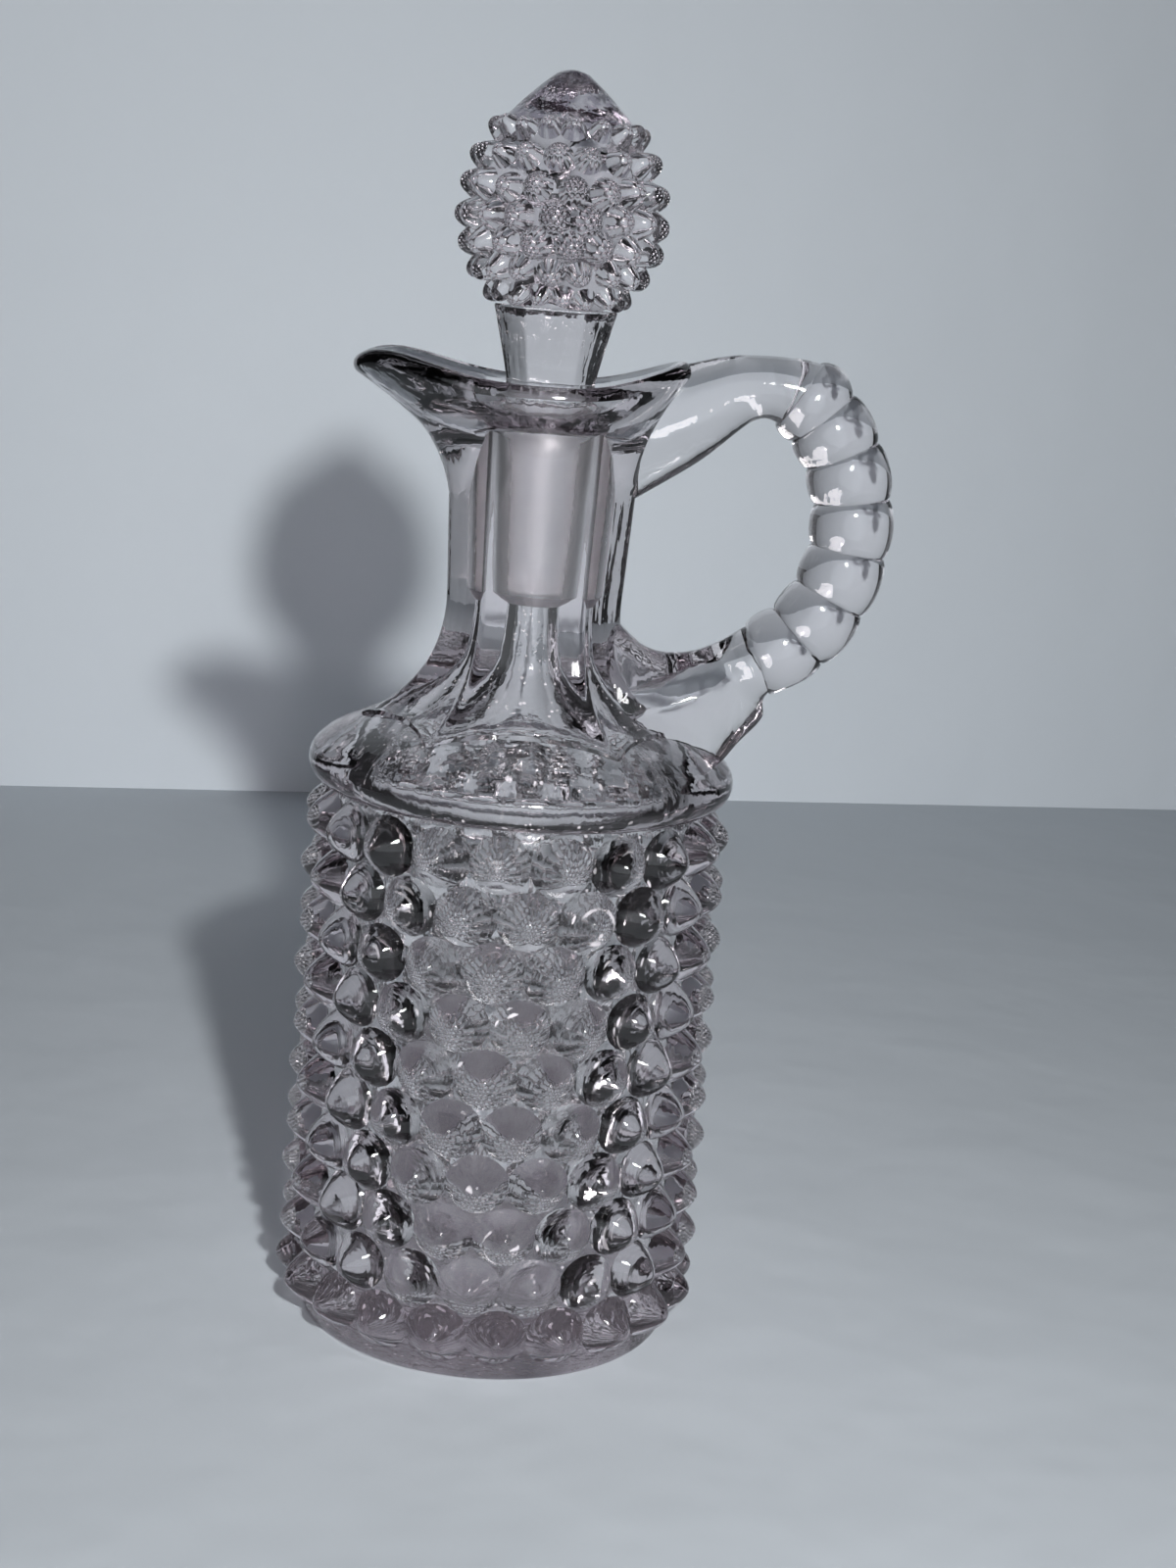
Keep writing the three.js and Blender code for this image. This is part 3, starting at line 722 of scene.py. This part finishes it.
def hollow():
    """The chamber, the throat and the seat, as one turned cutter."""
    chamber = BARREL_RADIUS - BARREL_WALL
    chamber_top = RING_FOOT - CHAMBER_TOP_DROP
    corner_top = BASE_THICKNESS + CHAMBER_CORNER
    seat_floor = PLUG_END - SEAT_CLEARANCE
    seat_end = PLUG_END_RADIUS + SEAT_CLEARANCE
    mouth = PLUG_TOP_RADIUS + PLUG_TAPER * PLUG_BELOW_BOWL + SEAT_CLEARANCE
    middle, edge, corner = (BASE_THICKNESS + rise for rise in CHAMBER_FLOOR_RISES)
    profile = curve([(CHAMBER_FLOOR_START, middle), (chamber - CHAMBER_CORNER, edge),
                     (chamber, corner), (chamber, corner_top)], CHAMBER_FLOOR_STEPS)
    profile += straight((chamber, corner_top), (chamber, chamber_top), CHAMBER_WALL_STEPS)
    profile += curve([(chamber, chamber_top), (chamber, RING_TOP),
                      (THROAT_FOOT_RADIUS + THROAT_FOOT_FLARE[0], RING_TOP + THROAT_FOOT_FLARE[1]),
                      (THROAT_FOOT_RADIUS, RING_TOP + THROAT_FOOT_RISE)],
                     CHAMBER_SHOULDER_STEPS)[1:]
    profile += [(THROAT_RADIUS, seat_floor - THROAT_STRAIGHT),
                (THROAT_RADIUS, seat_floor - SEAT_CHAMFER), (seat_end, seat_floor)]
    profile += straight((seat_end, seat_floor), (mouth, BOWL_FLOOR), SEAT_STEPS)
    profile += [(mouth + SEAT_MOUTH[0], BOWL_FLOOR + SEAT_MOUTH[1])]

    # The seat carries a little painted shade. The floor of the chamber has a whitish film with
    # painted shade, and it and the walls carry white specks painted in as glints
    def finish(height):
        if height > seat_floor - SEAT_CHAMFER:
            return SEAT
        return FILM_WITH_PAINTED_SHADE_AND_GLINTS if height < BASE_THICKNESS + FILM_RISE else CHAMBER

    piece = turned("hollow", profile, HOLLOW_SIDES)
    mark(piece, finish)
    return piece


# Handle
def smooth_between(points, place):
    """A smooth curve through points, at a place counted in points from the first."""
    n = min(int(place), len(points) - 2)
    t = place - n
    p1, p2 = points[n], points[n + 1]
    p0 = points[n - 1] if n else p1 * 2 - p2
    p3 = points[n + 2] if n + 2 < len(points) else p2 * 2 - p1
    return 0.5 * ((2 * p1) + (p2 - p0) * t + (2 * p0 - 5 * p1 + 4 * p2 - p3) * t ** 2
                  + (3 * p1 - p0 - 3 * p2 + p3) * t ** 3)


def handle_stations():
    """The sections of the arm, the grooves between the beads, and the sections of the foot."""
    stations = []
    for ridge, inside, outside, deep in ARM:
        stations.append([Vector((x, BOWL_FLOOR + z)) for x, z in (ridge, inside, outside)]
                        + [deep])
    for k in range(BEADS + 1):
        turn = math.radians(LOOP_TOP_ANGLE - LOOP_SWEEP * (k / BEADS) ** BEAD_SPREAD)
        out = Vector((LOOP_HALF_WIDTH * math.cos(turn), LOOP_HALF_HEIGHT * math.sin(turn)))
        across = Vector((out.x / LOOP_HALF_WIDTH ** 2, out.y / LOOP_HALF_HEIGHT ** 2)).normalized()
        centre = Vector((LOOP_CENTRE_REACH, RING_TOP + LOOP_CENTRE_HEIGHT)) + out
        stations.append([centre, centre - across * GROOVE_RADIUS, centre + across * GROOVE_RADIUS,
                         GROOVE_RADIUS])
    for ridge, inside, outside, deep in FOOT:
        stations.append([Vector((x, RING_TOP + z)) for x, z in (ridge, inside, outside)] + [deep])
    return stations


def handle():
    """The arm, the beads and the wedge of the foot, pulled up section by section."""
    stations = handle_stations()
    first = len(ARM)
    rings = []
    for n in range((len(stations) - 1) * STEPS_PER_SPAN + 1):
        span, step = divmod(n, STEPS_PER_SPAN)
        share = step / STEPS_PER_SPAN
        on_bead = first <= span < first + BEADS
        if on_bead:
            share = (1 - math.cos(math.pi * share)) / 2
        place = span + share
        ridge, inside, outside, deep = (smooth_between(line, place) for line in zip(*stations))
        if on_bead:
            swell = (BEAD_RADIUS - GROOVE_RADIUS) * math.sqrt(max(0, 1 - (2 * share - 1) ** 2))
            grow = swell * (inside - outside).normalized()
            inside, outside, deep = inside + grow, outside - grow, deep + swell
        wedge = min(1, max(0, (place - first - BEADS - WEDGE_START) / (1 - WEDGE_START)))
        ring = []
        for k in range(HANDLE_SIDES):
            turn = 2 * math.pi * k / HANDLE_SIDES
            cos, sin = math.cos(turn), math.sin(turn)
            edge = inside if cos > 0 else outside
            point = ridge.lerp(edge, abs(cos) ** mix(1, WEDGE_RIDGE, wedge))
            power = mix(1, WEDGE_INSIDE if cos > 0 else WEDGE_OUTSIDE, wedge)
            depth = deep * math.copysign(abs(sin) ** power, sin)
            ring.append(Vector((point.x, depth, point.y)) * MM)
        rings.append(ring)
    return stacked("handle", rings)


def cruet_glass():
    piece = upper_skin()
    fuse(piece, handle(), "UNION")
    fuse(piece, barrel(), "UNION")
    fuse(piece, bowl(), "DIFFERENCE")
    fuse(piece, hollow(), "DIFFERENCE")
    smooth(piece)
    return piece


# Stopper
def plug():
    round_top = PLUG_END + PLUG_END_ROUNDING
    flat = (PLUG_END_RADIUS - PLUG_END_ROUNDING, PLUG_END)
    profile = [flat]
    profile += curve([flat, (PLUG_END_RADIUS, PLUG_END),
                      (PLUG_END_RADIUS + PLUG_TAPER * PLUG_END_ROUNDING, round_top)],
                     PLUG_END_STEPS)[1:]
    profile += straight((profile[-1][0], round_top), (PLUG_TOP_RADIUS, PLUG_TOP), PLUG_STEPS)
    profile += arc((0, PLUG_TOP), (PLUG_TOP_RADIUS, PLUG_DOME), 0, PLUG_DOME_ANGLE,
                   PLUG_DOME_STEPS)[1:]
    piece = turned("stopper_glass", profile, PLUG_SIDES)
    # The ground plug carries a little painted shade
    mark(piece, lambda height: PLUG if height < PLUG_TOP else CLEAR)
    return piece


def shank():
    flare_foot = PLUG_TOP + SHANK_STRAIGHT
    profile = [(SHANK_RADIUS, PLUG_TOP), (SHANK_RADIUS, flare_foot)]
    profile += curve([(SHANK_RADIUS, flare_foot),
                      (SHANK_RADIUS + SHANK_FLARE[0], flare_foot + SHANK_FLARE[1]),
                      (SHANK_TOP_RADIUS, SHANK_TOP + SHANK_INTO_KNOB)], SHANK_FLARE_STEPS)[1:]
    piece = turned("shank", profile, SHANK_SIDES, SHANK_TURN)
    mark(piece, lambda height: STREAKED)
    for edge in piece.data.edges:
        a, b = (piece.data.vertices[v].co for v in edge.vertices)
        edge.select = abs(a.z - b.z) > 0.1 * MM
    bpy.ops.object.mode_set(mode="EDIT")
    bpy.ops.mesh.select_mode(type="EDGE")
    bpy.ops.mesh.bevel(offset=SHANK_CORNER * MM, segments=SHANK_CORNER_SEGMENTS,
                       clamp_overlap=True)
    bpy.ops.object.mode_set(mode="OBJECT")
    return piece


def knob_place(degrees, row):
    """The radius, the height and the direction out of the knob at a row counted from the top."""
    climb = math.radians(KNOB_TOP_ROW_ANGLE - row * KNOB_ROW_ANGLE)
    tall = KNOB_RISE if climb > 0 else KNOB_DROP
    taper = 1 if climb > 0 else KNOB_TAPER
    inset = climb * taper
    out = Vector((tall * math.cos(climb), KNOB_RADIUS * taper * math.sin(inset))).normalized()
    radius = KNOB_RADIUS * math.cos(inset)
    height = KNOB_MIDDLE + tall * math.sin(climb)
    return radius, height, polar(out.x, degrees, out.y) / MM


def knob():
    profile = [knob_place(0, mix(KNOB_ROWS, -1, k / KNOB_STEPS))[:2]
               for k in range(KNOB_STEPS + 1)]
    core = turned("knob", profile, KNOB_SIDES)
    pattern = hob("knob_hob", KNOB_HOB_RADIUS, KNOB_HOB_HEIGHT, KNOB_HOB_RINGS, KNOB_HOB_SIDES,
                  KNOB_HOB_SWELL)
    places = []
    for row in range(KNOB_ROWS):
        for n in range(KNOB_HOBS_PER_ROW):
            along = n + (row % 2) / 2 + uneven(row, n, KNOB_PLACE_PLAY)
            degrees = KNOB_TURN + along * 360 / KNOB_HOBS_PER_ROW
            rise = KNOB_TOP_ROW_LIFT * max(0, 1 - row / 2)
            radius, height, out = knob_place(degrees, row - rise + uneven(n, row, KNOB_PLACE_PLAY))
            share = (radius / KNOB_RADIUS) ** KNOB_HOB_NARROWING
            places.append((row, n, polar(radius, degrees, height), out,
                           share * (1 + uneven(row, n + 3, KNOB_WIDTH_PLAY)), mix(1, share, 0.5)))
    for hobs in set_hobs(pattern, places):
        fuse(core, hobs, "UNION")
    return core


def cap():
    """The pointed cap: a foot sunk in the knob, a small round edge, the cone and its round tip."""
    edge = CAP_FOOT - CAP_SINK
    top = CAP_FOOT + CAP_HEIGHT
    foot, low, bulge, high = ((CAP_RADIUS + out, edge + up) for out, up in CAP_EDGE)
    cone = (CAP_CONE_RADIUS, (CAP_FOOT + top) / 2 + CAP_CONE_RISE)
    tip = [(radius, top + up) for radius, up in CAP_TIP]
    profile = [foot, low]
    profile += curve([low, bulge, high], CAP_EDGE_STEPS)[1:]
    profile += curve([profile[-1], cone, tip[0]], CAP_CONE_STEPS)[1:]
    profile += curve(tip, CAP_TIP_STEPS)[1:]
    piece = turned("cap", profile, CAP_SIDES)
    # Shade is painted on the cap in dark mottles
    mark(piece, lambda height: MOTTLED_PAINTED_SHADE)
    return piece


def stopper_glass():
    piece = plug()
    fuse(piece, shank(), "UNION")
    top = knob()
    fuse(top, cap(), "UNION")
    fuse(piece, top, "UNION")
    smooth(piece)
    return piece


# Materials. A source is an output socket
def noise(tree, scale, detail=2, drawn=1.0):
    """Noise on Object coordinates. A drawn below 1 stretches it into upright streaks."""
    place = tree.nodes.get("Texture Coordinate") or tree.nodes.new("ShaderNodeTexCoord")
    stretch = tree.nodes.new("ShaderNodeMapping")
    stretch.inputs["Scale"].default_value = (1, 1, drawn)
    texture = tree.nodes.new("ShaderNodeTexNoise")
    texture.inputs["Scale"].default_value = scale
    texture.inputs["Detail"].default_value = detail
    tree.links.new(place.outputs["Object"], stretch.inputs["Vector"])
    tree.links.new(stretch.outputs["Vector"], texture.inputs["Vector"])
    return texture.outputs["Fac"]


def mapped(tree, source, start=(0, 1), to=(0, 1)):
    """A source's range, carried over to another range and held within it."""
    node = tree.nodes.new("ShaderNodeMapRange")
    node.inputs["From Min"].default_value, node.inputs["From Max"].default_value = start
    node.inputs["To Min"].default_value, node.inputs["To Max"].default_value = to
    tree.links.new(source, node.inputs["Value"])
    return node.outputs["Result"]


def maths(tree, operation, *sources):
    """Arithmetic on sources and plain numbers."""
    node = tree.nodes.new("ShaderNodeMath")
    node.operation = operation
    for socket, source in zip(node.inputs, sources):
        if hasattr(source, "is_linked"):
            tree.links.new(source, socket)
        else:
            socket.default_value = source
    return node.outputs["Value"]


def tinted(tree, share, plain, colour):
    """A colour over a plain one, which is a source or a colour itself."""
    node = tree.nodes.new("ShaderNodeMix")
    node.data_type = "RGBA"
    tree.links.new(share, node.inputs[0])
    if hasattr(plain, "is_linked"):
        tree.links.new(plain, node.inputs[6])
    else:
        node.inputs[6].default_value = plain
    node.inputs[7].default_value = colour
    return node.outputs[2]


def bump(tree, source, depth, under=None):
    """A bump of a depth in millimetres, over another one."""
    node = tree.nodes.new("ShaderNodeBump")
    node.inputs["Strength"].default_value = 1
    node.inputs["Distance"].default_value = depth * MM
    tree.links.new(source, node.inputs["Height"])
    if under:
        tree.links.new(under, node.inputs["Normal"])
    return node.outputs["Normal"]


def bump_by(tree, source, depth, under):
    """A bump whose depth in millimetres comes from a source."""
    normal = bump(tree, source, 0, under)
    tree.links.new(maths(tree, "MULTIPLY", depth, MM), normal.node.inputs["Distance"])
    return normal


def level(tree, part):
    node = tree.nodes.new("ShaderNodeAttribute")
    node.attribute_name = part
    return node.outputs["Fac"]


def painted_glint_specks(tree):
    """White specks painted in as glints: tiny spots, thinned out by a coarser noise."""
    patch = mapped(tree, noise(tree, GLINT_PATCH_SCALE), GLINT_PATCH_EDGE)
    cells = tree.nodes.new("ShaderNodeTexVoronoi")
    cells.inputs["Scale"].default_value = GLINT_SPECK_SCALE
    tree.links.new(tree.nodes["Texture Coordinate"].outputs["Object"], cells.inputs["Vector"])
    spot = mapped(tree, cells.outputs["Distance"], GLINT_SPECK_EDGE)
    return maths(tree, "MULTIPLY", spot, patch)


def glass(name):
    """Old pressed glass with a lilac tint. Each face's finish says how hazy, bloomed and pitted it
    is, how many white specks are painted on it as glints, how much shade is painted on it in dark
    mottles, and how streaked it is."""
    material = bpy.data.materials.new(name)
    material.use_nodes = True
    tree = material.node_tree
    shader, output = tree.nodes["Principled BSDF"], tree.nodes["Material Output"]
    haze, bloom, pits, painted_glints, smoke, streaks = (level(tree, part) for part in FINISH_PARTS)
    # White specks painted in as glints are added to the white bloom
    bloom = maths(tree, "ADD", bloom, maths(tree, "MULTIPLY", painted_glint_specks(tree), painted_glints))
    # Painted shade: noisy mottles that darken the colour towards a dark lilac, as much as the
    # finish asks
    painted_shade_mottles = mapped(tree, noise(tree, PAINTED_SHADE_SCALE, 3), to=PAINTED_SHADE_RANGE)
    colour = tinted(tree, bloom, WHITE, BLOOM_AND_PAINTED_GLINT_WHITE)
    colour = tinted(tree, maths(tree, "MULTIPLY", painted_shade_mottles, smoke), colour, PAINTED_SHADE_COLOUR)
    tree.links.new(colour, shader.inputs["Base Color"])
    tree.links.new(maths(tree, "SUBTRACT", 1, bloom), shader.inputs["Transmission Weight"])
    shader.inputs["IOR"].default_value = GLASS_IOR
    normal = None
    for scale, depth in RIPPLES:
        normal = bump(tree, noise(tree, scale), depth, normal)
    normal = bump_by(tree, noise(tree, STREAK_SCALE, 2, STREAK_DRAWN), streaks, normal)
    normal = bump_by(tree, noise(tree, PIT_SCALE), pits, normal)
    tree.links.new(normal, shader.inputs["Normal"])
    cloud = mapped(tree, noise(tree, CLOUD_SCALE, 4), to=(0, CLOUD_MOST))
    tree.links.new(maths(tree, "ADD", haze, cloud), shader.inputs["Roughness"])
    depth = tree.nodes.new("ShaderNodeVolumeAbsorption")
    depth.inputs["Color"].default_value = TINT
    depth.inputs["Density"].default_value = TINT_DENSITY
    tree.links.new(depth.outputs["Volume"], output.inputs["Volume"])
    let_light_in(tree, shader.outputs["BSDF"], output)
    return material


def mixed_shaders(tree, share, first, second):
    node = tree.nodes.new("ShaderNodeMixShader")
    for socket, source in zip(node.inputs, (share, first, second)):
        tree.links.new(source, socket)
    return node.outputs["Shader"]


def let_light_in(tree, surface, output):
    """Glass that lets a part of the lamps' light straight through, so that its inside and the
    floor in its shadow are lit."""
    path = tree.nodes.new("ShaderNodeLightPath")
    share = maths(tree, "MULTIPLY", path.outputs["Is Shadow Ray"], LIGHT_THROUGH)
    through = tree.nodes.new("ShaderNodeBsdfTransparent")
    through.inputs["Color"].default_value = LIGHT_THROUGH_TINT
    tree.links.new(mixed_shaders(tree, share, surface, through.outputs["BSDF"]),
                   output.inputs["Surface"])


pressed_glass = glass("old_pressed_glass")
cruet = cruet_glass()
stopper = stopper_glass()
blow_in(cruet, pressed_glass)
blow_in(stopper, pressed_glass)

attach(cruet, "bottle")
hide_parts("cruet_body")
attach(stopper, "stopper")
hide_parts("stopper")


# Floor and backdrop
def cloth(name, colour, one_sided=False):
    """Plain pale satin. A one-sided backdrop is clear from behind."""
    material = bpy.data.materials.new(name)
    material.use_nodes = True
    tree = material.node_tree
    shader, output = tree.nodes["Principled BSDF"], tree.nodes["Material Output"]
    shader.inputs["Base Color"].default_value = colour
    shader.inputs["Roughness"].default_value = CLOTH_ROUGHNESS
    waves = bump(tree, noise(tree, CLOTH_WAVE_SCALE, 3), CLOTH_WAVE_DEPTH)
    tree.links.new(waves, shader.inputs["Normal"])
    if one_sided:
        facing = tree.nodes.new("ShaderNodeNewGeometry")
        open_back = tree.nodes.new("ShaderNodeBsdfTransparent")
        tree.links.new(mixed_shaders(tree, facing.outputs["Backfacing"], shader.outputs["BSDF"],
                                     open_back.outputs["BSDF"]), output.inputs["Surface"])
    return material


def sheet(name, size, place, turn, material):
    """A flat sheet, placed from the crease between floor and backdrop and turned with it."""
    clear_selection()
    bpy.ops.mesh.primitive_plane_add(size=1)
    piece = bpy.context.object
    piece.name = name
    bpy.ops.transform.resize(value=(size[0], size[1], 1))
    piece.rotation_euler = (math.radians(turn), 0, 0)
    piece.location = place
    bpy.ops.object.transform_apply(location=True, rotation=True, scale=True)
    piece.data.transform(Matrix.Translation((0, BACKDROP_Y, 0))
                         @ Matrix.Rotation(math.radians(BACKDROP_TURN), 4, "Z"))
    piece.data.materials.append(material)


sheet("floor", FLOOR_SIZE, (0, -FLOOR_SIZE[1] / 2, -FLOOR_DROP), 0,
      cloth("floor_cloth", FLOOR_COLOUR_WITH_PAINTED_SHADE))
sheet("backdrop", BACKDROP_SIZE, (BACKDROP_SHIFT, 0, BACKDROP_SIZE[1] / 2 - FLOOR_DROP), 90,
      cloth("backdrop_cloth", BACKDROP_COLOUR, one_sided=True))


def lamp(name, size, power, spread):
    """A round soft lamp."""
    data = bpy.data.lights.new(name, "AREA")
    data.shape = "DISK"
    data.size = size
    data.energy = power
    data.spread = math.radians(spread)
    light = bpy.data.objects.new(name, data)
    bpy.context.scene.collection.objects.link(light)
    light.location = KEY_PLACE
    aim = Vector(KEY_TARGET) - Vector(KEY_PLACE)
    light.rotation_euler = aim.to_track_quat("-Z", "Y").to_euler()
    light.visible_camera = False


for name, size, power, spread in LAMPS:
    lamp(name, size, power, spread)


def studio():
    """Soft light from all round. The camera sees a pale room behind the object from any side;
    the glass sees it bright towards the front, and dim elsewhere."""
    world = bpy.data.worlds.new("studio")
    world.use_nodes = True
    tree = world.node_tree
    background = tree.nodes["Background"]
    background.inputs["Color"].default_value = ROOM_COLOUR
    path = tree.nodes.new("ShaderNodeLightPath")
    direction = tree.nodes.new("ShaderNodeTexCoord")
    split = tree.nodes.new("ShaderNodeSeparateXYZ")
    tree.links.new(direction.outputs["Generated"], split.inputs["Vector"])
    front = mapped(tree, split.outputs["Y"], FRONT_ZONE)
    front.node.interpolation_type = "SMOOTHSTEP"

    def blend(a, b, share):
        difference = maths(tree, "SUBTRACT", b, a)
        return maths(tree, "ADD", a, maths(tree, "MULTIPLY", difference, share))

    in_glass = maths(tree, "MAXIMUM", path.outputs["Is Glossy Ray"],
                     path.outputs["Is Transmission Ray"])
    room = blend(ROOM_IN_GLASS, FRONT_IN_GLASS, front)
    strength = blend(ROOM_FILL, room, in_glass)
    strength = blend(strength, ROOM_SEEN, path.outputs["Is Camera Ray"])
    tree.links.new(strength, background.inputs["Strength"])
    bpy.context.scene.world = world


studio()


def camera():
    pitch, yaw, roll = (math.radians(a) for a in (CAMERA_PITCH, CAMERA_YAW, CAMERA_ROLL))
    ahead = Vector((math.sin(yaw) * math.cos(pitch), math.cos(yaw) * math.cos(pitch),
                    -math.sin(pitch)))
    right = Vector((math.cos(yaw), -math.sin(yaw), 0))
    up = right.cross(ahead)
    turned_right = right * math.cos(roll) + up * math.sin(roll)
    turned_up = up * math.cos(roll) - right * math.sin(roll)
    data = bpy.data.cameras.new("camera")
    data.sensor_fit = "VERTICAL"
    data.sensor_height = SENSOR_HEIGHT
    data.lens = SENSOR_HEIGHT * FOCAL_PIXELS / PICTURE_HEIGHT
    data.clip_start = 0.01
    view = bpy.data.objects.new("camera", data)
    bpy.context.scene.collection.objects.link(view)
    axes = Matrix((turned_right, turned_up, -ahead)).transposed().to_4x4()
    view.matrix_world = Matrix.Translation(Vector(CAMERA_PLACE) * MM) @ axes
    bpy.context.scene.camera = view


camera()
bpy.context.scene.view_settings.view_transform = "Standard"
